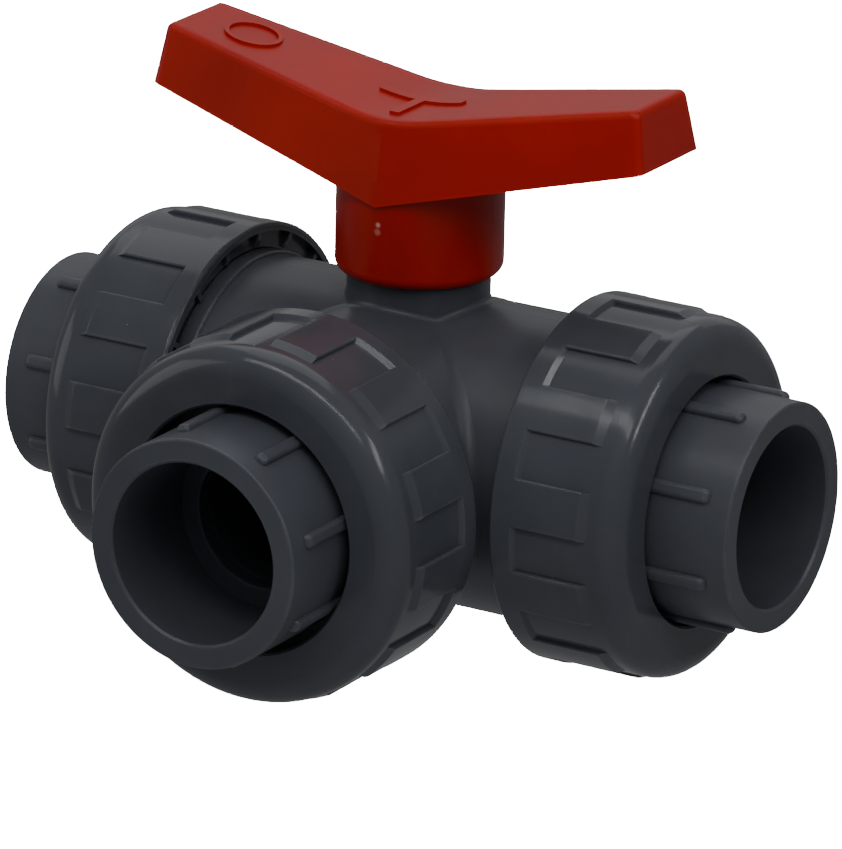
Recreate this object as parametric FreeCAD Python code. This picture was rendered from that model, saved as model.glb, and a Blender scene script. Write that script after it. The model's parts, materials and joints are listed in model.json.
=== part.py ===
import FreeCAD, Part
import math
import os
from collections import namedtuple

# Three way union ball valve in grey PVC-U for 32 mm solvent-cement pipe.
# Millimetres, +Z up. The origin is where the three pipe axes and the stem axis cross.
# The straight run lies along X, the branch leaves towards -Y and the handle is on top.
# Everything on a port is drawn for the +X port and then turned about Z.

V = FreeCAD.Vector

# Ports: turn about Z, how much longer the body's arm is than the run's, and the turns about
# its own axis of the nut's pads and of the connector's ribs (millimetres and degrees).
Port = namedtuple("Port", "name turn shift pad_turn rib_turn")
PORTS = (
    Port("right", 0.0, 0.0, 21.0, 20.8),
    Port("front", -90.0, -0.9, -11.3, -31.0),
    Port("left", 180.0, 0.0, -21.0, -26.2),
)

# Pipe and main lengths along a port axis.
PIPE_BORE_R = 16.15      # socket for 32 mm pipe
SOCKET_DEPTH = 22.0
FACE_X = 74.2            # centre of the valve to a socket's face, on the run
FLOW_R = 12.6            # free passage through carriers, seats and connectors

# Body.
BODY_R = 27.3
BODY_BORE_R = 22.6
BODY_END_X = 48.5
COLLAR_R = 27.9
COLLAR_X0 = 32.8
COLLAR_X1 = 35.8
CREASE_ROUND = 2.5       # where the branch leaves the run
NECK_R = 12.75
NECK_TOP_Z = 36.0
NECK_ROUND = 1.0
STEM_BORE_R = 7.05
REAR_BOSS_R = 19.0
REAR_BOSS_Y = 27.6
REAR_BOSS_ROUND = 0.25

# Union thread, right-handed, shared by the body and the nuts.
PITCH = 4.0
THREAD_START_X = 32.0    # both helices start here, so the ridge runs in the middle of the groove
THREAD_X0 = 36.5         # the body's ridge is trimmed back to here
RIDGE_TOP_R = 29.6
RIDGE_BASE_W = 2.3
RIDGE_TOP_W = 1.0
THREAD_GAP = 0.35
NUT_MINOR_R = 28.0

# Union nut.
NUT_REAR_X = 34.5
NUT_FRONT_X = 59.5
NUT_R = 32.1
NUT_PAD_R = 32.9
NUT_BAND_X = 38.7        # end of the rear band's top, which then slopes down to the nut
NUT_BAND_SLOPE = 1.0     # length along X for each millimetre down
NUT_PAD_X = 51.7         # end of a pad's top, which then slopes down to the nut
NUT_PAD_FOOT_X = 53.4
NUT_PADS = 12
NUT_PAD_DEG = 15.2
NUT_FRONT_ROUND = 4.6
NUT_HOLE_R = 22.15
NUT_WALL_X = 53.3        # inner face of the nut's front wall
NUT_RELIEF_R = 30.2
NUT_RELIEF_X = 46.0
REAR_RECESS_R0 = 28.0
REAR_RECESS_R1 = 31.3
REAR_RECESS_DEPTH = 1.6
REAR_RIBS = 18

# End connector.
FLANGE_R = 26.9
FLANGE_X0 = 48.55
FLANGE_X1 = 53.15
SOCKET_R = 20.45
SOCKET_ROUND = 0.4
RIBS = 8
RIB_R = 21.6
RIB_W = 2.5
RIB_ROUND = 0.85         # along both sides of a rib's top
RIB_NOSE_R = 1.2         # at the rib's end
RIB_END_X = 70.0

# Ball, seats and carriers.
BALL_R = 22.0
BALL_BORE_R = 12.5
SEAT_GAP = 0.1
SEAT_X0 = 16.7
SEAT_X1 = 21.5
SEAT_R = 16.6
POCKET_R = 16.7
SEAT_RING_R = 15.0       # backing o-ring behind the seat
SEAT_RING_W = 1.7
NOSE_R = 19.5
NOSE_X0 = 19.7
NOSE_X1 = 22.8
CARRIER_R = 22.4
CARRIER_X1 = 48.3
CARRIER_RING_X = 27.5
CARRIER_RING_W = 2.1
FACE_RING_R = 24.9
FACE_RING_W = 2.2

# Stem.
STEM_R = 7.0
TONGUE = (15.0, 5.8)
TONGUE_Z0 = 18.6
STEM_FLANGE_R = 9.6
STEM_FLANGE_Z0 = 22.3
STEM_FLANGE_Z1 = 24.9
WASHER_T = 0.5
STEM_POCKET_R = 9.9
STEM_POCKET_Z = 25.6
STEM_RINGS_Z = (28.8, 32.8)
STEM_RING_W = 1.7
SQUARE = 9.0
SQUARE_Z0 = 37.0
SQUARE_Z1 = 55.0

# Handle: two arms rising to their tips on a round hub.
HUB_R = 14.95
HUB_Z0 = 31.8
HUB_BORE_R = 13.05
HUB_CORE_R = 8.2
HUB_CORE_Z0 = 37.0
HUB_CAVITY_Z = 57.0
HUB_ROUND = 2.0
ARM_BOTTOM_Z = 46.8      # at the middle
ARM_TIP_BOTTOM = (49.8, 59.9)
ARM_TOP_Z = 61.5         # where the two straight tops would meet
ARM_TIP_TOP = (47.9, 70.9)
ARM_TOP_BLEND_R = 39.0
ARM_NOSE_R = 20.0        # the arms' sides meet in a rounded nose at the middle
SIDE_HALF = 22.9         # half width of the arms is SIDE_HALF - SIDE_TAPER*|x| - SIDE_DRAFT*z
SIDE_TAPER = 0.0671
SIDE_DRAFT = 0.155
ARM_WALL = 2.4
ARM_ROOF = 3.0
ARM_RIBS_X = (21.0, 30.0, 39.0)
ARM_RIB_T = 1.6
RIM_ROUND = 1.5
MARK_BAR = 16.6
MARK_STEM = 9.6
MARK_STROKE = 1.9
MARK_HEIGHT = 0.5
MARK_ROOT = 1.0          # how far the marks reach down into the roof
RING_X = -35.0           # plain ring on the left arm
RING_R = 5.2
RING_STROKE = 0.8


def cyl(axis, radius, start, end):
    """Cylinder about an axis through the origin, between two places on it."""
    direction = {"x": V(1, 0, 0), "y": V(0, 1, 0), "z": V(0, 0, 1)}[axis]
    return Part.makeCylinder(radius, end - start, direction * start, direction)


def ring(axis, outer, inner, start, end):
    """Flat ring about an axis through the origin."""
    return cyl(axis, outer, start, end).cut(cyl(axis, inner, start - 1.0, end + 1.0))


def torus(axis, radius, width, place):
    """O-ring of round section about an axis through the origin."""
    direction = {"x": V(1, 0, 0), "z": V(0, 0, 1)}[axis]
    return Part.makeTorus(radius, width / 2, direction * place, direction)


def box(x0, x1, y0, y1, z0, z1):
    """Box between two corners."""
    return Part.makeBox(x1 - x0, y1 - y0, z1 - z0, V(x0, y0, z0))


def prism(points, direction):
    """Solid made by pushing a closed outline along a direction."""
    return Part.Face(Part.makePolygon(points + points[:1])).extrude(direction)


def turned(shape, axis, degrees):
    """Copy of a shape turned about an axis through the origin."""
    copy = shape.copy()
    copy.rotate(V(0, 0, 0), axis, degrees)
    return copy


def placed(shape, port):
    """Copy of a shape drawn for the +X port, moved out to a port's own place."""
    copy = shape.copy()
    copy.translate(V(port.shift, 0, 0))
    return turned(copy, V(0, 0, 1), port.turn)


def around_x(shape, count, start=0.0):
    """Evenly spaced copies of a shape about the X axis."""
    return [turned(shape, V(1, 0, 0), start + i * 360.0 / count) for i in range(count)]


def rim_edges(shape, x, radius):
    """Circular edges about X at a place and radius."""
    found = []
    for edge in shape.Edges:
        curve = edge.Curve
        if isinstance(curve, Part.Circle) and abs(curve.Radius - radius) < 0.01:
            if abs(curve.Center.x - x) < 0.01 and abs(abs(curve.Axis.x) - 1.0) < 0.01:
                found.append(edge)
    return found


def thread_ridge(base_width, top_width, base_r, top_r, start, end):
    """Helical ridge about X. Its turns are in step for every start on a whole pitch."""
    helix = Part.makeHelix(PITCH, end - start, base_r)
    outline = [
        V(base_r, 0, -base_width / 2),
        V(top_r, 0, -top_width / 2),
        V(top_r, 0, top_width / 2),
        V(base_r, 0, base_width / 2),
    ]
    profile = Part.makePolygon(outline + outline[:1])
    ridge = Part.Wire(helix).makePipeShell([profile], True, True)
    ridge.translate(V(0, 0, start))
    ridge.rotate(V(0, 0, 0), V(0, 1, 0), 90)
    return ridge


def body_thread():
    """Male union thread, trimmed at both ends and fused on the body by valve_body."""
    ridge = thread_ridge(RIDGE_BASE_W + 0.4, RIDGE_TOP_W, BODY_R - 0.4, RIDGE_TOP_R,
                         THREAD_START_X, BODY_END_X + PITCH)
    return ridge.common(ring("x", RIDGE_TOP_R + 1.0, BODY_R - 0.3, THREAD_X0, BODY_END_X - 0.4))


def tee():
    """Run, branch, neck and rear boss, with their creases rounded."""
    reach = {port.name: BODY_END_X + port.shift for port in PORTS}
    run = cyl("x", BODY_R, -reach["left"], reach["right"])
    run = run.fuse(cyl("y", BODY_R, -reach["front"], 0)).removeSplitter()
    run = run.makeFillet(CREASE_ROUND, [e for e in run.Edges if isinstance(e.Curve, Part.Ellipse)])
    run = run.fuse(cyl("z", NECK_R, 15.0, NECK_TOP_Z)).removeSplitter()
    foot = [e for e in run.Edges if on_neck(e) and e.CenterOfMass.z < BODY_R + 0.5]
    run = run.makeFillet(NECK_ROUND, foot)
    boss = cyl("y", REAR_BOSS_R, 12.0, REAR_BOSS_Y)
    rim = [e for e in boss.Edges if abs(e.CenterOfMass.y - REAR_BOSS_Y) < 0.01]
    return run.fuse(boss.makeFillet(REAR_BOSS_ROUND, rim))


def on_neck(edge):
    """True for an edge whose ends and middle all lie on the neck's side."""
    middle = edge.valueAt((edge.FirstParameter + edge.LastParameter) / 2)
    points = [vertex.Point for vertex in edge.Vertexes] + [middle]
    return all(abs(math.hypot(point.x, point.y) - NECK_R) < 0.01 for point in points)


def valve_body():
    """Tee body with male threads, stem neck, rear boss and pockets for the trim."""
    outer = tee()
    collar = cyl("x", COLLAR_R, COLLAR_X0, COLLAR_X1)
    collar = collar.makeFillet(0.5, rim_edges(collar, COLLAR_X0, COLLAR_R))
    thread = body_thread()
    for port in PORTS:
        outer = outer.fuse([placed(collar, port), placed(thread, port)])
    cavity = cyl("x", BODY_BORE_R, -BODY_END_X - 1, BODY_END_X + 1)
    cavity = cavity.fuse(cyl("y", BODY_BORE_R, -BODY_END_X - 1, 0))
    cavity = cavity.fuse(cyl("y", POCKET_R, 0, SEAT_X1))
    cavity = cavity.fuse(ring("y", SEAT_RING_R + 1.0, SEAT_RING_R - 1.0, SEAT_X1 - 1, SEAT_X1 + SEAT_RING_W))
    cavity = cavity.fuse(cyl("z", STEM_POCKET_R, 15.0, STEM_POCKET_Z))
    cavity = cavity.fuse(cyl("z", STEM_BORE_R, 20.0, NECK_TOP_Z + 1))
    body = outer.cut(cavity)
    groove = ring("x", FACE_RING_R + 1.15, FACE_RING_R - 1.15, BODY_END_X - 2.3, BODY_END_X + 1)
    for port in PORTS:
        body = body.cut(placed(groove, port))
    return body.removeSplitter()


def lathe_x(points):
    """Solid of revolution about X from an outline of (x, radius) corners."""
    corners = [V(x, 0, radius) for x, radius in points]
    outline = Part.Face(Part.makePolygon(corners + corners[:1]))
    return outline.revolve(V(0, 0, 0), V(1, 0, 0), 360)


def nut_pad():
    """One raised grip pad, centred on +Z, with its outer edges rounded."""
    half = math.radians(NUT_PAD_DEG / 2)
    far = NUT_PAD_R + 3.0
    start = NUT_BAND_X - 1.0
    wedge = prism(
        [V(start, 0, 0), V(start, far * math.tan(half), far), V(start, -far * math.tan(half), far)],
        V(NUT_FRONT_X - start, 0, 0),
    )
    buried = NUT_R - 1.0
    pad = wedge.common(lathe_x([(start, buried), (start, NUT_PAD_R), (NUT_PAD_X, NUT_PAD_R),
                                (NUT_PAD_FOOT_X, NUT_R), (NUT_PAD_FOOT_X, buried)]))
    edges = []
    for edge in pad.Edges:
        middle = edge.valueAt((edge.FirstParameter + edge.LastParameter) / 2)
        outside = abs(math.hypot(middle.y, middle.z) - NUT_PAD_R) < 0.01
        if outside and middle.x > NUT_BAND_X - 0.5:
            edges.append(edge)
    return pad.makeFillet(0.35, edges)


def union_nut(pad_turn):
    """Nut with grip pads, inner thread, front wall with its hole and a ribbed rear recess."""
    nut = cyl("x", NUT_R, NUT_REAR_X, NUT_FRONT_X)
    nut = nut.makeFillet(NUT_FRONT_ROUND, rim_edges(nut, NUT_FRONT_X, NUT_R))
    buried = NUT_R - 0.5
    foot_x = NUT_BAND_X + (NUT_PAD_R - buried) * NUT_BAND_SLOPE
    band = lathe_x([(NUT_REAR_X, 0), (NUT_REAR_X, NUT_PAD_R), (NUT_BAND_X, NUT_PAD_R),
                    (foot_x, buried), (foot_x, 0)])
    band = band.makeFillet(0.7, rim_edges(band, NUT_REAR_X, NUT_PAD_R))
    nut = nut.fuse([band] + around_x(nut_pad(), NUT_PADS, pad_turn)).removeSplitter()
    hole = cyl("x", NUT_HOLE_R, NUT_REAR_X, NUT_FRONT_X + 1)
    lip = Part.makeCone(NUT_HOLE_R - 0.6, NUT_HOLE_R + 1.0, 1.6, V(NUT_FRONT_X - 1.0, 0, 0), V(1, 0, 0))
    inside = cyl("x", NUT_MINOR_R, NUT_REAR_X - 1, NUT_WALL_X)
    relief = cyl("x", NUT_RELIEF_R, NUT_RELIEF_X, NUT_WALL_X)
    recess = ring("x", REAR_RECESS_R1, REAR_RECESS_R0 - 1, NUT_REAR_X - 1, NUT_REAR_X + REAR_RECESS_DEPTH)
    rib = box(NUT_REAR_X + 0.5, NUT_REAR_X + 3, -0.5, 0.5, NUT_MINOR_R + 0.4, REAR_RECESS_R1 + 1)
    recess = recess.cut(Part.makeCompound(around_x(rib, REAR_RIBS, 5.5)))
    groove = thread_ridge(RIDGE_BASE_W + 2 * THREAD_GAP + 0.5, RIDGE_TOP_W + 2 * THREAD_GAP,
                          BODY_R + 0.2, RIDGE_TOP_R + THREAD_GAP,
                          THREAD_START_X, NUT_RELIEF_X + PITCH * 0.75)
    for tool in (hole.fuse(lip), inside.fuse(relief), recess, groove):
        nut = nut.cut(tool)
    return nut


def socket_rib():
    """One rib on +Z of a connector's socket, with a rounded nose and a rounded top."""
    half = RIB_W / 2
    start = FLANGE_X0 + 1.0
    rib = box(start, RIB_END_X, -half, half, SOCKET_R - 1.5, RIB_R)
    nose = [e for e in rib.Edges if abs(e.CenterOfMass.x - RIB_END_X) < 0.01
            and abs(e.CenterOfMass.z - RIB_R) < 0.01]
    rib = rib.makeFillet(RIB_NOSE_R, nose)
    sides = [e for e in rib.Edges if abs(abs(e.CenterOfMass.y) - half) < 0.01
             and e.CenterOfMass.z > RIB_R - RIB_NOSE_R and e.CenterOfMass.x > start + 1.0]
    return rib.makeFillet(RIB_ROUND, sides)


def end_connector(rib_turn):
    """Flanged tail with a pipe socket, an inner stop and raised ribs."""
    solid = cyl("x", FLANGE_R, FLANGE_X0, FLANGE_X1)
    solid = solid.makeFillet(0.4, rim_edges(solid, FLANGE_X1, FLANGE_R))
    tube = cyl("x", SOCKET_R, FLANGE_X0, FACE_X)
    tube = tube.makeFillet(SOCKET_ROUND, rim_edges(tube, FACE_X, SOCKET_R))
    solid = solid.fuse([tube] + around_x(socket_rib(), RIBS, rib_turn)).removeSplitter()
    socket = cyl("x", PIPE_BORE_R, FACE_X - SOCKET_DEPTH, FACE_X + 1)
    mouth = Part.makeCone(PIPE_BORE_R - 0.6, PIPE_BORE_R + 1.0, 1.6, V(FACE_X - 1.0, 0, 0), V(1, 0, 0))
    passage = cyl("x", FLOW_R, FLANGE_X0 - 1, FACE_X)
    return solid.cut(socket.fuse([mouth, passage]))


def seat():
    """PTFE seat ring with a spherical face towards the ball."""
    blank = ring("x", SEAT_R, FLOW_R, SEAT_X0, SEAT_X1)
    return blank.cut(Part.makeSphere(BALL_R + SEAT_GAP))


def seat_o_ring():
    """O-ring behind a seat."""
    return torus("x", SEAT_RING_R, SEAT_RING_W, SEAT_X1 + SEAT_RING_W / 2)


def seat_carrier(end_x):
    """Ring that holds a seat in the body, with wrench slots in its outer face."""
    carrier = cyl("x", NOSE_R, NOSE_X0, NOSE_X1).fuse(cyl("x", CARRIER_R, NOSE_X1, end_x))
    carrier = carrier.cut(cyl("x", FLOW_R, NOSE_X0 - 1, end_x + 1))
    carrier = carrier.cut(cyl("x", POCKET_R, NOSE_X0 - 1, SEAT_X1))
    carrier = carrier.cut(ring("x", SEAT_RING_R + 1.0, SEAT_RING_R - 1.0, SEAT_X1 - 1, SEAT_X1 + SEAT_RING_W))
    half = CARRIER_RING_W / 2 + 0.2
    carrier = carrier.cut(ring("x", CARRIER_R + 1, CARRIER_R - CARRIER_RING_W + 0.1,
                               CARRIER_RING_X - half, CARRIER_RING_X + half))
    slot = box(end_x - 3.0, end_x + 1, -2.5, 2.5, 15.5, CARRIER_R + 1)
    return carrier.cut(Part.makeCompound(around_x(slot, 4, 45.0)))


def carrier_o_ring():
    """O-ring that seals a carrier in the body's bore."""
    return torus("x", CARRIER_R - CARRIER_RING_W / 2 + 0.1, CARRIER_RING_W, CARRIER_RING_X)


def face_o_ring():
    """O-ring between the body's end face and the connector's flange."""
    return torus("x", FACE_RING_R, FACE_RING_W, BODY_END_X - FACE_RING_W / 2 - 0.05)


def ball():
    """Ball with a T shaped passage and a slot for the stem's tongue."""
    solid = Part.makeSphere(BALL_R)
    solid = solid.cut(cyl("x", BALL_BORE_R, -BALL_R - 1, BALL_R + 1))
    solid = solid.cut(cyl("y", BALL_BORE_R, -BALL_R - 1, 0))
    length, width = TONGUE
    return solid.cut(box(-length / 2 - 0.2, length / 2 + 0.2, -width / 2 - 0.1, width / 2 + 0.1,
                         TONGUE_Z0 - 0.2, BALL_R + 1))


def stem():
    """Stem with a tongue, a blow-out flange, two o-ring grooves and a square top."""
    length, width = TONGUE
    tongue = box(-length / 2, length / 2, -width / 2, width / 2, TONGUE_Z0, STEM_FLANGE_Z0 + 0.5)
    shaft = cyl("z", STEM_FLANGE_R, STEM_FLANGE_Z0, STEM_FLANGE_Z1)
    shaft = shaft.fuse([cyl("z", STEM_R, STEM_FLANGE_Z1 - 1, SQUARE_Z0), tongue])
    for z in STEM_RINGS_Z:
        half = STEM_RING_W / 2 + 0.2
        shaft = shaft.cut(ring("z", STEM_R + 1, STEM_R - STEM_RING_W, z - half, z + half))
    square = box(-SQUARE / 2, SQUARE / 2, -SQUARE / 2, SQUARE / 2, SQUARE_Z0 - 1, SQUARE_Z1)
    top = [e for e in square.Edges if abs(e.CenterOfMass.z - SQUARE_Z1) < 0.01]
    return shaft.fuse(square.makeChamfer(0.6, top)).removeSplitter()


def thrust_washer():
    """Washer between the stem's flange and the body."""
    return ring("z", STEM_FLANGE_R, STEM_R + 0.05, STEM_FLANGE_Z1, STEM_FLANGE_Z1 + WASHER_T)


def stem_o_ring(z):
    """O-ring on the stem."""
    return torus("z", STEM_R - STEM_RING_W / 2, STEM_RING_W, z)


def arm_outline(inset, roof, drop):
    """Both arms seen from the front, as a solid 60 mm deep along Y."""
    tip_x, tip_z = ARM_TIP_BOTTOM
    top_x, top_z = ARM_TIP_TOP
    slope = math.atan2(top_z - ARM_TOP_Z, top_x)
    reach = ARM_TOP_BLEND_R * math.tan(slope)
    low = ARM_TOP_Z - roof
    dip = ARM_TOP_BLEND_R * (1 / math.cos(slope) - 1)
    left = V(-reach * math.cos(slope), -30, low + reach * math.sin(slope))
    right = V(reach * math.cos(slope), -30, low + reach * math.sin(slope))
    corners = [
        right,
        V(top_x - inset, -30, top_z - roof - inset * math.tan(slope)),
        V(tip_x - inset, -30, tip_z - drop),
        V(0, -30, ARM_BOTTOM_Z - drop),
        V(inset - tip_x, -30, tip_z - drop),
        V(inset - top_x, -30, top_z - roof - inset * math.tan(slope)),
        left,
    ]
    edges = [Part.makeLine(a, b) for a, b in zip(corners, corners[1:])]
    edges.append(Part.Arc(left, V(0, -30, low + dip), right).toShape())
    return Part.Face(Part.Wire(edges)).extrude(V(0, 60, 0))


def arm_sides(inset):
    """Wedge that gives the arms their taper and draft."""
    reach = 60.0

    def outline(z):
        middle = SIDE_HALF - SIDE_DRAFT * z - inset
        end = middle - SIDE_TAPER * reach
        points = [V(0, -middle, z), V(reach, -end, z), V(reach, end, z),
                  V(0, middle, z), V(-reach, end, z), V(-reach, -end, z)]
        return Part.makePolygon(points + points[:1])

    return Part.makeLoft([outline(30.0), outline(75.0)], True, True)


def marks():
    """Raised T shaped sign of the flow path and a plain raised ring, as tall bars through the arms' tops."""
    half = MARK_STROKE / 2
    bar = box(-MARK_BAR / 2, MARK_BAR / 2, -half, half, 55.0, 75.0)
    stroke = box(-half, half, -MARK_STEM, 0, 55.0, 75.0)
    plain_ring = ring("z", RING_R, RING_R - RING_STROKE, 55.0, 75.0)
    plain_ring.translate(V(RING_X, 0, 0))
    return Part.makeCompound([bar.fuse(stroke).removeSplitter(), plain_ring])


def handle():
    """Hollow two-armed handle with a round hub and a square socket for the stem."""
    arms = arm_outline(0, 0, 0).common(arm_sides(0))
    middle = [e for e in arms.Edges if abs(e.CenterOfMass.x) < 0.01 and abs(e.Vertexes[0].X) < 0.01
              and abs(e.Vertexes[1].X) < 0.01 and abs(e.CenterOfMass.y) > 5]
    arms = arms.makeFillet(ARM_NOSE_R, middle)
    upright = [e for e in arms.Edges if abs(e.Vertexes[0].Z - e.Vertexes[1].Z) > 8 and abs(e.CenterOfMass.x) > 40]
    arms = arms.makeFillet(RIM_ROUND, upright)
    rim = [e for e in arms.Edges if e.CenterOfMass.z > ARM_TOP_Z and is_top_rim(e)]
    arms = arms.makeFillet(RIM_ROUND, rim)
    raised, lowered = arms.copy(), arms.copy()
    raised.translate(V(0, 0, MARK_HEIGHT))
    lowered.translate(V(0, 0, -MARK_ROOT))
    hub = cyl("z", HUB_R, HUB_Z0, ARM_TOP_Z - 2)
    low_rim = [e for e in hub.Edges if abs(e.CenterOfMass.z - HUB_Z0) < 0.01]
    hub = hub.makeFillet(HUB_ROUND, low_rim).common(arm_sides(0))
    hollow = arm_outline(ARM_WALL, ARM_ROOF, 12.0).common(arm_sides(ARM_WALL))
    hollow = hollow.cut(cyl("z", HUB_R, HUB_Z0, ARM_TOP_Z + 10))
    for x in ARM_RIBS_X:
        floor_z = ARM_BOTTOM_Z + x * (ARM_TIP_BOTTOM[1] - ARM_BOTTOM_Z) / ARM_TIP_BOTTOM[0] + 3.0
        for side in (-1, 1):
            centre = side * x
            hollow = hollow.cut(box(centre - ARM_RIB_T / 2, centre + ARM_RIB_T / 2, -30, 30, floor_z, 80))
    solid = arms.fuse(hub).cut(hollow)
    bore = cyl("z", HUB_BORE_R, HUB_Z0 - 1, HUB_CORE_Z0)
    moat = ring("z", HUB_BORE_R, HUB_CORE_R, HUB_CORE_Z0 - 0.5, HUB_CAVITY_Z)
    for turn in (45, 135):
        web = box(-HUB_R, HUB_R, -0.9, 0.9, HUB_CORE_Z0 + 2, HUB_CAVITY_Z + 1)
        moat = moat.cut(turned(web, V(0, 0, 1), turn))
    half = SQUARE / 2 + 0.05
    socket = box(-half, half, -half, half, HUB_CORE_Z0 - 1, SQUARE_Z1 + 0.3)
    solid = solid.cut(bore).cut(moat).cut(socket)
    return solid.fuse(marks().common(raised).cut(lowered)).removeSplitter()


def is_top_rim(edge):
    """True for an edge that bounds the upper face of the arms."""
    top_x, top_z = ARM_TIP_TOP
    slope = (top_z - ARM_TOP_Z) / top_x
    for step in (0.1, 0.5, 0.9):
        point = edge.valueAt(edge.FirstParameter + step * (edge.LastParameter - edge.FirstParameter))
        line_z = ARM_TOP_Z + slope * abs(point.x)
        if abs(point.z - line_z) > 0.05 and not (abs(point.x) < 8 and line_z - 0.05 < point.z < line_z + 0.9):
            return False
    return True


def build():
    """All sub-parts by name, in place."""
    parts = {"valve_body": valve_body()}
    for port in PORTS:
        fixed = {
            "seat_": seat(),
            "seat_o_ring_": seat_o_ring(),
            "seat_carrier_": seat_carrier(CARRIER_X1 + port.shift),
            "carrier_o_ring_": carrier_o_ring(),
        }
        moved = {
            "face_o_ring_": face_o_ring(),
            "end_connector_": end_connector(port.rib_turn),
            "union_nut_": union_nut(port.pad_turn),
        }
        for label, shape in fixed.items():
            parts[label + port.name] = turned(shape, V(0, 0, 1), port.turn)
        for label, shape in moved.items():
            parts[label + port.name] = placed(shape, port)
    parts["seat_rear"] = turned(seat(), V(0, 0, 1), 90)
    parts["seat_o_ring_rear"] = turned(seat_o_ring(), V(0, 0, 1), 90)
    parts["ball"] = ball()
    parts["stem"] = stem()
    parts["thrust_washer"] = thrust_washer()
    parts["stem_o_ring_lower"] = stem_o_ring(STEM_RINGS_Z[0])
    parts["stem_o_ring_upper"] = stem_o_ring(STEM_RINGS_Z[1])
    parts["handle"] = handle()
    return parts


os.makedirs("parts", exist_ok=True)
for node, shape in build().items():
    solids = shape.Solids
    print(node, "solids", len(solids), "valid", shape.isValid(), "volume", round(shape.Volume, 1))
    if len(solids) == 1:
        shape = solids[0]
    shape.exportStep(os.path.join("parts", node + ".step"))
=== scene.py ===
import json
import math

import bpy
from mathutils import Matrix, Vector


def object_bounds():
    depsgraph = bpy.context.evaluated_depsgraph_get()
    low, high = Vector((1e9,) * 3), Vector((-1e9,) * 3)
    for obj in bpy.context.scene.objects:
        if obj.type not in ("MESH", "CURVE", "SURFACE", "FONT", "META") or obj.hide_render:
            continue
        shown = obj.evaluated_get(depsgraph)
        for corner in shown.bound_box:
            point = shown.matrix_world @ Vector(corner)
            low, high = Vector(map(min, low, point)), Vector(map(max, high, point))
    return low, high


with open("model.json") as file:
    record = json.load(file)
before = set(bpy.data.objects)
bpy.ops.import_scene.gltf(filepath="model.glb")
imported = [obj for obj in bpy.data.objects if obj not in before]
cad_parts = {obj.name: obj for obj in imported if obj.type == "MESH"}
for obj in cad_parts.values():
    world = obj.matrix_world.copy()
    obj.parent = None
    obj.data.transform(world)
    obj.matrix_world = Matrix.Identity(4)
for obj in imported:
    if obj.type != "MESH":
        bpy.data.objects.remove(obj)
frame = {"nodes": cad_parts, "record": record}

# Grey PVC-U three way valve with a red handle. Metres, in the frame's own axes:
# +X along the run, -Y along the branch, +Z up the stem, origin where the axes cross.

CAD_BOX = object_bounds()
MM = 0.001

# The camera, seen from the front right and a little above. Angles are in degrees.
VIEW_AZIMUTH = 30.82
VIEW_ELEVATION = 19.05
VIEW_ROLL = 1.24
VIEW_DISTANCE = 1.3574
VIEW_AIM_RIGHT = 0.97 * MM      # how far the aim passes beside and above the origin
VIEW_AIM_UP = 2.35 * MM
LENS = 324.6
SENSOR = 36.0
CLIP_END = 20.0

# The floor: a round whose rim sweeps up all the way round, well outside any camera.
FLOOR_R = 4.0
SWEEP_R = 2.0
SWEEP_STEPS = 12
FLOOR_SEGMENTS = 64

# Soft panels of light aimed at the valve:
# azimuth, elevation, distance, width and height, power, and whether they show in the gloss.
PANELS = {
    "key": (30, 48, 1.3, (0.9, 0.9), 3.4, False),
    "overhead": (-150, 62, 1.4, (1.2, 1.2), 4.0, True),
    "back_panel": (-149, 24, 1.3, (1.8, 0.7), 1.1, True),
    "left_fill": (-60, 15, 1.2, (0.7, 0.7), 1.6, True),
    "floor_bounce": (30, -60, 1.2, (1.5, 1.5), 4.5, False),
}

# Panels that light only the floor: the same, but the last says whether they cast shadows.
FLOOR_PANELS = {
    "floor_light": (30, 88, 4.5, (8.0, 8.0), 14000.0, False),
    "floor_shade_light": (30, 80, 1.6, (1.5, 1.5), 300.0, True),
}

# Pairs of thin tubes that leave streaks on the glossy edges: start, end, gap and power.
TUBES = {
    "front_tubes": ((-0.45, -0.45, 0.83), (0.75, -0.6, 0.83), 0.09, 1.2),
    "side_tubes": ((0.715, 0.159, 0.68), (0.851, -0.281, 0.44), 0.07, 0.7),
}
TUBE_WIDTH = 0.02

# Strength of the surroundings straight below, level with and straight above the valve.
WORLD_BELOW, WORLD_LEVEL, WORLD_ABOVE = 0.22, 0.2, 0.28

# Detail of the plastics. Scales are in cycles a metre.
CLOUD_SCALE = 34.0                      # slow changes of tone
SCUFF_SCALE = 240.0                     # handling marks, drawn out along Z
SCUFF_STRETCH = (1.0, 1.0, 0.12)
RUB_AND_HIGHLIGHT_SCALE = 160.0                       # patches in the pale outward edges: rubbed wear and a painted edge highlight
WAVE_SCALE = 70.0                       # waviness of a thick moulding
WAVE_HEIGHT = 0.12 * MM
GRAIN_SCALE = 900.0                     # the mould's own grain
GRAIN_HEIGHT = 0.008 * MM
RING_SCALE = 1100.0                     # circles left by a turned mould
RING_HEIGHT = 0.012 * MM
TOOL_SCALE = 1500.0                     # tool marks on machined pieces
TOOL_HEIGHT = 0.02 * MM
EDGE_REACH = 0.7 * MM                   # how far the outward edges are painted pale: rubbed wear and a painted edge highlight
EDGE_SAMPLES = 4
DUST_SPACING = 6.5 * MM
DUST_R = 0.22 * MM
DUST_SHARE = 0.3
DUST_AMOUNT = 0.45
DARK, PALE = 0.88, 1.12                 # the range of tone in one piece
SCUFF_TONE = 1.5
SCUFF_DULLING = 0.03                    # what a handling mark adds to the roughness
# Tone of the pale outward edges: partly rubbed wear, partly a painted edge highlight.
RUBBED_AND_HIGHLIGHT_TONE = 2.4
PLASTIC_IOR = 1.5


# ---------------------------------------------------------------- node helpers

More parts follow.
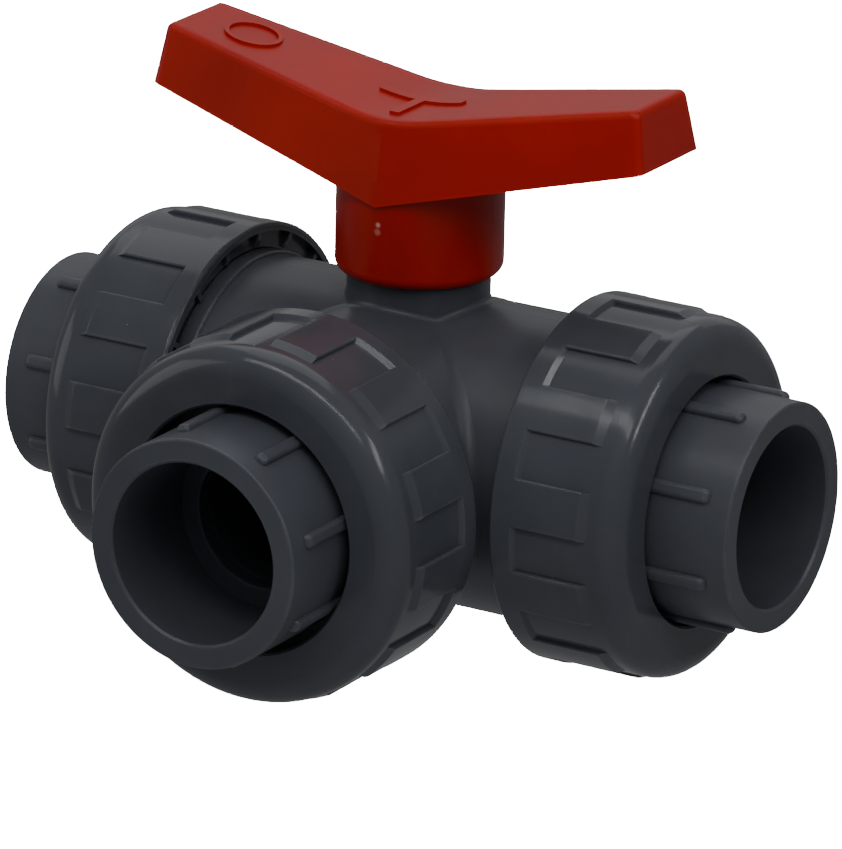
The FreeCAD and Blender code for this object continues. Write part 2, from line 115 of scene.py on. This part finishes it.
class Shader:
    """A material's node tree with short ways to add and join nodes."""

    def __init__(self, name):
        self.material = bpy.data.materials.new(name)
        self.material.use_nodes = True
        self.tree = self.material.node_tree
        self.bsdf = self.tree.nodes["Principled BSDF"]
        self.coordinates = self.tree.nodes.new("ShaderNodeTexCoord").outputs["Object"]

    def node(self, kind, **inputs):
        made = self.tree.nodes.new(kind)
        for key, value in inputs.items():
            self.feed(made.inputs[key.replace("_", " ")], value)
        return made

    def feed(self, socket, value):
        """Joins a socket's value to an input, or sets a plain value on it."""
        if isinstance(value, bpy.types.NodeSocket):
            self.tree.links.new(value, socket)
        else:
            socket.default_value = value

    def surface(self, **inputs):
        """Sets or joins inputs of the material's own shader."""
        for key, value in inputs.items():
            self.feed(self.bsdf.inputs[key.replace("_", " ")], value)

    def noise(self, scale, detail=2.0, roughness=0.5, stretch=None):
        """Noise from 0 to 1 at a scale in cycles a metre."""
        source = self.coordinates
        if stretch:
            mapping = self.node("ShaderNodeMapping", Vector=source, Scale=stretch)
            source = mapping.outputs["Vector"]
        made = self.node("ShaderNodeTexNoise", Vector=source, Scale=scale,
                         Detail=detail, Roughness=roughness)
        return made.outputs["Fac"]

    def rings(self, axis, scale):
        """Noise that is the same all the way round an axis through the origin."""
        parts = self.node("ShaderNodeSeparateXYZ", Vector=self.coordinates)
        along = parts.outputs[axis]
        across = [self.maths("MULTIPLY", parts.outputs[name], parts.outputs[name])
                  for name in "XYZ" if name != axis]
        reach = self.maths("SQRT", self.maths("ADD", *across), 0.0)
        place = self.node("ShaderNodeCombineXYZ", X=along, Y=reach)
        made = self.node("ShaderNodeTexNoise", Vector=place.outputs["Vector"], Scale=scale)
        return made.outputs["Fac"]

    def specks(self, spacing, radius, share):
        """Sparse round spots: 1 inside a spot and 0 elsewhere. Spacing and radius are in metres."""
        cells = self.node("ShaderNodeTexVoronoi", Vector=self.coordinates, Scale=1.0 / spacing)
        spot = self.ramp(cells.outputs["Distance"], radius / spacing, 0.6 * radius / spacing)
        chosen = self.ramp(cells.outputs["Color"], 1.0 - share, 1.0 - share + 0.02)
        return self.maths("MULTIPLY", spot, chosen)

    def near(self, place, radius):
        """1 at a place on the object, fading to 0 at a radius from it."""
        gap = self.node("ShaderNodeVectorMath")
        gap.operation = "DISTANCE"
        self.feed(gap.inputs[0], self.coordinates)
        gap.inputs[1].default_value = place
        return self.ramp(gap.outputs["Value"], radius, 0.4 * radius)

    def outer_edges(self, reach):
        """1 along outward edges, fading to 0 at a reach from them. It looks back into the solid."""
        made = self.tree.nodes.new("ShaderNodeAmbientOcclusion")
        made.inside = True
        made.only_local = True
        made.samples = EDGE_SAMPLES
        made.inputs["Distance"].default_value = reach
        return self.ramp(made.outputs["AO"], 0.9, 0.5)

    def ramp(self, value, low, high, out_low=0.0, out_high=1.0):
        """Clamped straight-line change of a value."""
        made = self.node("ShaderNodeMapRange", Value=value, From_Min=low, From_Max=high,
                         To_Min=out_low, To_Max=out_high)
        return made.outputs["Result"]

    def maths(self, operation, first, second):
        made = self.tree.nodes.new("ShaderNodeMath")
        made.operation = operation
        self.feed(made.inputs[0], first)
        self.feed(made.inputs[1], second)
        return made.outputs[0]

    def mix(self, amount, first, second):
        """Blend of two colours."""
        made = self.tree.nodes.new("ShaderNodeMix")
        made.data_type = "RGBA"
        self.feed(made.inputs["Factor"], amount)
        self.feed(made.inputs["A"], first)
        self.feed(made.inputs["B"], second)
        return made.outputs["Result"]

    def bump(self, height, distance, normal=None):
        """The surface's normal with a relief of this many metres laid over it."""
        made = self.node("ShaderNodeBump", Height=height, Distance=distance, Strength=1.0)
        if normal:
            self.feed(made.inputs["Normal"], normal)
        return made.outputs["Normal"]


def colour(red, green, blue):
    return (red, green, blue, 1.0)


def scaled(base, factor):
    return colour(*(channel * factor for channel in base[:3]))


# ---------------------------------------------------------------- materials

DUST = colour(0.45, 0.43, 0.41)
BRUISE = colour(0.75, 0.4, 0.34)
GREY = colour(0.056, 0.061, 0.074)
RED = colour(0.37, 0.0055, 0.0005)
WHITE = colour(1.0, 1.0, 1.0)

# Two pale bruises on the front of the handle's hub: place, radius and amount.
HUB_CHIPS = (
    ((0.0004, -0.0149, 0.0435), 0.0006, 0.6),
    ((0.0003, -0.0149, 0.0422), 0.0008, 0.25),
)


def moulded_plastic(name, base, roughness, specular, grain=1.0, edge_wear_and_highlight=0.65,
                    ring_axis=None, chips=()):
    """Injection moulded plastic: cloudy tone, mould grain, pale outward edges (rubbed wear and a painted
    edge highlight), dust and handling marks.

    With ring_axis the mould was turned, and leaves faint circles about that axis in the gloss.
    Each chip is a place, a radius and how much of the pale bruise shows there.
    """
    shader = Shader(name)
    cloud = shader.noise(CLOUD_SCALE, 3.0, 0.55)
    scuff = shader.noise(SCUFF_SCALE, 4.0, 0.7, stretch=SCUFF_STRETCH)

    tone = shader.mix(shader.ramp(cloud, 0.35, 0.68), scaled(base, DARK), scaled(base, PALE))
    tone = shader.mix(shader.ramp(scuff, 0.62, 0.78, 0.0, 0.22), tone, scaled(base, SCUFF_TONE))
    # Painted edge highlight: outward edges are made paler, partly as rubbed wear and partly in place of
    # the highlight on their rounding.
    patches = shader.ramp(shader.noise(RUB_AND_HIGHLIGHT_SCALE, 3.0), 0.38, 0.62, 0.2 * edge_wear_and_highlight, edge_wear_and_highlight)
    rubbed_and_highlight = shader.maths("MULTIPLY", shader.outer_edges(EDGE_REACH), patches)
    tone = shader.mix(rubbed_and_highlight, tone, scaled(base, RUBBED_AND_HIGHLIGHT_TONE))
    dust = shader.specks(DUST_SPACING, DUST_R, DUST_SHARE)
    tone = shader.mix(shader.maths("MULTIPLY", dust, DUST_AMOUNT), tone, DUST)
    for place, radius, amount in chips:
        tone = shader.mix(shader.maths("MULTIPLY", shader.near(place, radius), amount), tone, BRUISE)

    gloss = shader.maths("ADD", shader.ramp(cloud, 0.3, 0.7, roughness - 0.03, roughness + 0.05),
                         shader.ramp(scuff, 0.55, 0.8, 0.0, SCUFF_DULLING))

    relief = shader.bump(shader.noise(WAVE_SCALE, 1.0), WAVE_HEIGHT * grain)
    if ring_axis:
        relief = shader.bump(shader.rings(ring_axis, RING_SCALE), RING_HEIGHT, relief)
    relief = shader.bump(shader.noise(GRAIN_SCALE, 2.0, 0.6), GRAIN_HEIGHT * grain, relief)

    shader.surface(Base_Color=tone, Roughness=gloss, Normal=relief, IOR=PLASTIC_IOR,
                   Specular_IOR_Level=specular)
    return shader.material


def turned_plastic(name, base, roughness):
    """Machined plastic: fine tool marks and a dull finish."""
    shader = Shader(name)
    marks = shader.noise(TOOL_SCALE)
    tone = shader.mix(shader.ramp(shader.noise(60.0, 3.0), 0.35, 0.65),
                      scaled(base, DARK), scaled(base, PALE))
    gloss = shader.ramp(marks, 0.3, 0.7, roughness - 0.06, roughness + 0.08)
    shader.surface(Base_Color=tone, Roughness=gloss, Normal=shader.bump(marks, TOOL_HEIGHT),
                   IOR=PLASTIC_IOR)
    return shader.material


def seal_rubber(name):
    """Black rubber with a light bloom."""
    shader = Shader(name)
    bloom = shader.noise(300.0, 4.0, 0.65)
    tone = shader.mix(shader.ramp(bloom, 0.45, 0.75),
                      colour(0.012, 0.012, 0.013), colour(0.035, 0.035, 0.037))
    shader.surface(Base_Color=tone, Roughness=shader.ramp(bloom, 0.3, 0.7, 0.45, 0.62),
                   Normal=shader.bump(shader.noise(2500.0), 0.01 * MM))
    return shader.material


def nut_plastic(name, ring_axis):
    return moulded_plastic(name, scaled(GREY, 0.95), 0.15, 0.34, ring_axis=ring_axis)


MATERIALS = {
    "grey_pvc": moulded_plastic("grey_pvc", GREY, 0.34, 0.3),
    "grey_nut_pvc": nut_plastic("grey_nut_pvc", "X"),
    "grey_carrier_pvc": turned_plastic("grey_carrier_pvc", scaled(GREY, 0.9), 0.42),
    "grey_ball_pvc": moulded_plastic("grey_ball_pvc", scaled(GREY, 1.1), 0.2, 0.5, grain=0.4),
    "grey_stem_pvc": turned_plastic("grey_stem_pvc", GREY, 0.45),
    "ptfe": turned_plastic("ptfe", colour(0.8, 0.8, 0.77), 0.5),
    "rubber_seal": seal_rubber("rubber_seal"),
    "red_handle": moulded_plastic("red_handle", RED, 0.34, 0.27, edge_wear_and_highlight=0.2, chips=HUB_CHIPS),
}
FRONT_NUT = nut_plastic("grey_nut_pvc_front", "Y")      # its circles run about the branch


def dress(node, material):
    node.data.materials.clear()
    node.data.materials.append(material)


def dress_cad_nodes():
    """Gives each carried-over CAD node its slot's material."""
    for part in frame["record"]["subparts"]:
        dress(frame["nodes"][part["node"]], MATERIALS[part["material_slot"]])
    dress(frame["nodes"]["union_nut_front"], FRONT_NUT)


# ---------------------------------------------------------------- stage, light and camera

def outward(azimuth, elevation):
    """Unit vector from the valve towards an azimuth and elevation in degrees. Azimuth 0 is -Y."""
    turn, tilt = math.radians(azimuth), math.radians(elevation)
    return Vector((math.sin(turn) * math.cos(tilt), -math.cos(turn) * math.cos(tilt), math.sin(tilt)))


def link(thing):
    bpy.context.scene.collection.objects.link(thing)


def floor_mesh():
    """The pale round floor with its rising rim."""
    low = CAD_BOX[0]
    profile = [(0.0, 0.0)]
    for step in range(SWEEP_STEPS + 1):
        angle = math.radians(90.0 * step / SWEEP_STEPS)
        profile.append((FLOOR_R + SWEEP_R * math.sin(angle), SWEEP_R - SWEEP_R * math.cos(angle)))
    points = []
    for reach, height in profile:
        for step in range(FLOOR_SEGMENTS):
            angle = math.tau * step / FLOOR_SEGMENTS
            points.append((reach * math.cos(angle), reach * math.sin(angle), low.z + height))
    faces = []
    for row in range(len(profile) - 1):
        inner, outer = row * FLOOR_SEGMENTS, (row + 1) * FLOOR_SEGMENTS
        for here in range(FLOOR_SEGMENTS):
            after = (here + 1) % FLOOR_SEGMENTS
            faces.append((inner + here, outer + here, outer + after, inner + after))
    mesh = bpy.data.meshes.new("floor")
    mesh.from_pydata(points, [], faces)
    for polygon in mesh.polygons:
        polygon.use_smooth = True
    return mesh


def stage():
    """The floor, in a matt white. The valve is lit as in a dim room, not from the white floor."""
    floor = bpy.data.objects.new("floor", floor_mesh())
    link(floor)
    shader = Shader("floor_white")
    shade = shader.mix(shader.noise(3.0), colour(0.88, 0.88, 0.88), colour(0.92, 0.92, 0.92))
    shader.surface(Base_Color=shade, Roughness=0.9, Specular_IOR_Level=0.1)
    floor.data.materials.append(shader.material)
    floor.visible_diffuse = False
    floor.visible_glossy = False
    floor.visible_shadow = False
    return floor


def rectangle_light(name, place, rotation, size, power):
    """Rectangle of light that the camera doesn't see."""
    data = bpy.data.lights.new(name, "AREA")
    data.shape = "RECTANGLE"
    data.size, data.size_y = size
    data.energy = power
    light = bpy.data.objects.new(name, data)
    light.visible_camera = False
    light.location = place
    light.rotation_euler = rotation
    link(light)
    return light


def panel(name, azimuth, elevation, distance, size, power):
    """Soft light aimed at the valve from an azimuth and elevation, as the camera's are given."""
    direction = outward(azimuth, elevation)
    rotation = direction.to_track_quat("Z", "Y").to_euler()
    return rectangle_light(name, direction * distance, rotation, size, power)


def floor_panel(name, floor, *settings, shadow):
    """Panel that lights the floor and nothing else, with or without shadows."""
    light = panel(name, *settings)
    receivers = bpy.data.collections.new(name + "_receivers")
    receivers.objects.link(floor)
    light.light_linking.receiver_collection = receivers
    light.data.use_shadow = shadow


def tube_pair(name, start, end, gap, power):
    """Two thin parallel tubes of light between two places."""
    start, end = Vector(start), Vector(end)
    middle = (start + end) / 2
    along = (end - start).normalized()
    facing = middle.normalized()
    across = facing.cross(along)
    rotation = Matrix((along, across, facing)).transposed().to_euler()
    size = ((end - start).length, TUBE_WIDTH)
    for index, side in enumerate((-1, 1)):
        place = middle + across.normalized() * side * gap / 2
        rectangle_light(name + "_" + str(index), place, rotation, size, power)


def light_valve_and_floor(floor):
    for name, (*settings, shadow) in FLOOR_PANELS.items():
        floor_panel(name, floor, *settings, shadow=shadow)
    for name, (*settings, shows_in_gloss) in PANELS.items():
        panel(name, *settings).visible_glossy = shows_in_gloss
    for name, settings in TUBES.items():
        tube_pair(name, *settings)


def world_light():
    """Soft surroundings whose strength changes from straight below, through level, to straight above."""
    world = bpy.data.worlds.new("studio")
    world.use_nodes = True
    tree = world.node_tree
    direction = tree.nodes.new("ShaderNodeTexCoord").outputs["Generated"]
    parts = tree.nodes.new("ShaderNodeSeparateXYZ")
    tree.links.new(direction, parts.inputs[0])
    strength = None
    stretches = ((-1.0, 0.0, WORLD_LEVEL - WORLD_BELOW), (0.0, 1.0, WORLD_ABOVE - WORLD_LEVEL))
    for start, end, change in stretches:
        fade = tree.nodes.new("ShaderNodeMapRange")
        fade.interpolation_type = "SMOOTHSTEP"
        tree.links.new(parts.outputs["Z"], fade.inputs["Value"])
        fade.inputs["From Min"].default_value = start
        fade.inputs["From Max"].default_value = end
        fade.inputs["To Max"].default_value = change
        total = tree.nodes.new("ShaderNodeMath")
        tree.links.new(fade.outputs["Result"], total.inputs[0])
        if strength:
            tree.links.new(strength, total.inputs[1])
        else:
            total.inputs[1].default_value = WORLD_BELOW
        strength = total.outputs[0]
    background = tree.nodes["Background"]
    background.inputs["Color"].default_value = WHITE
    tree.links.new(strength, background.inputs["Strength"])
    bpy.context.scene.world = world


def camera():
    """Long-lens camera at the view's angle."""
    back = outward(VIEW_AZIMUTH, VIEW_ELEVATION)
    roll = math.radians(VIEW_ROLL)
    right = (-back).cross(Vector((0, 0, 1))).normalized()
    up = right.cross(-back)
    rolled_right = right * math.cos(roll) + up * math.sin(roll)
    rolled_up = up * math.cos(roll) - right * math.sin(roll)
    data = bpy.data.cameras.new("camera")
    data.lens = LENS
    data.sensor_width = SENSOR
    data.clip_end = CLIP_END
    eye = bpy.data.objects.new("camera", data)
    eye.location = back * VIEW_DISTANCE + rolled_right * VIEW_AIM_RIGHT + rolled_up * VIEW_AIM_UP
    eye.rotation_euler = Matrix((rolled_right, rolled_up, back)).transposed().to_euler()
    link(eye)
    bpy.context.scene.camera = eye


dress_cad_nodes()
light_valve_and_floor(stage())
world_light()
camera()
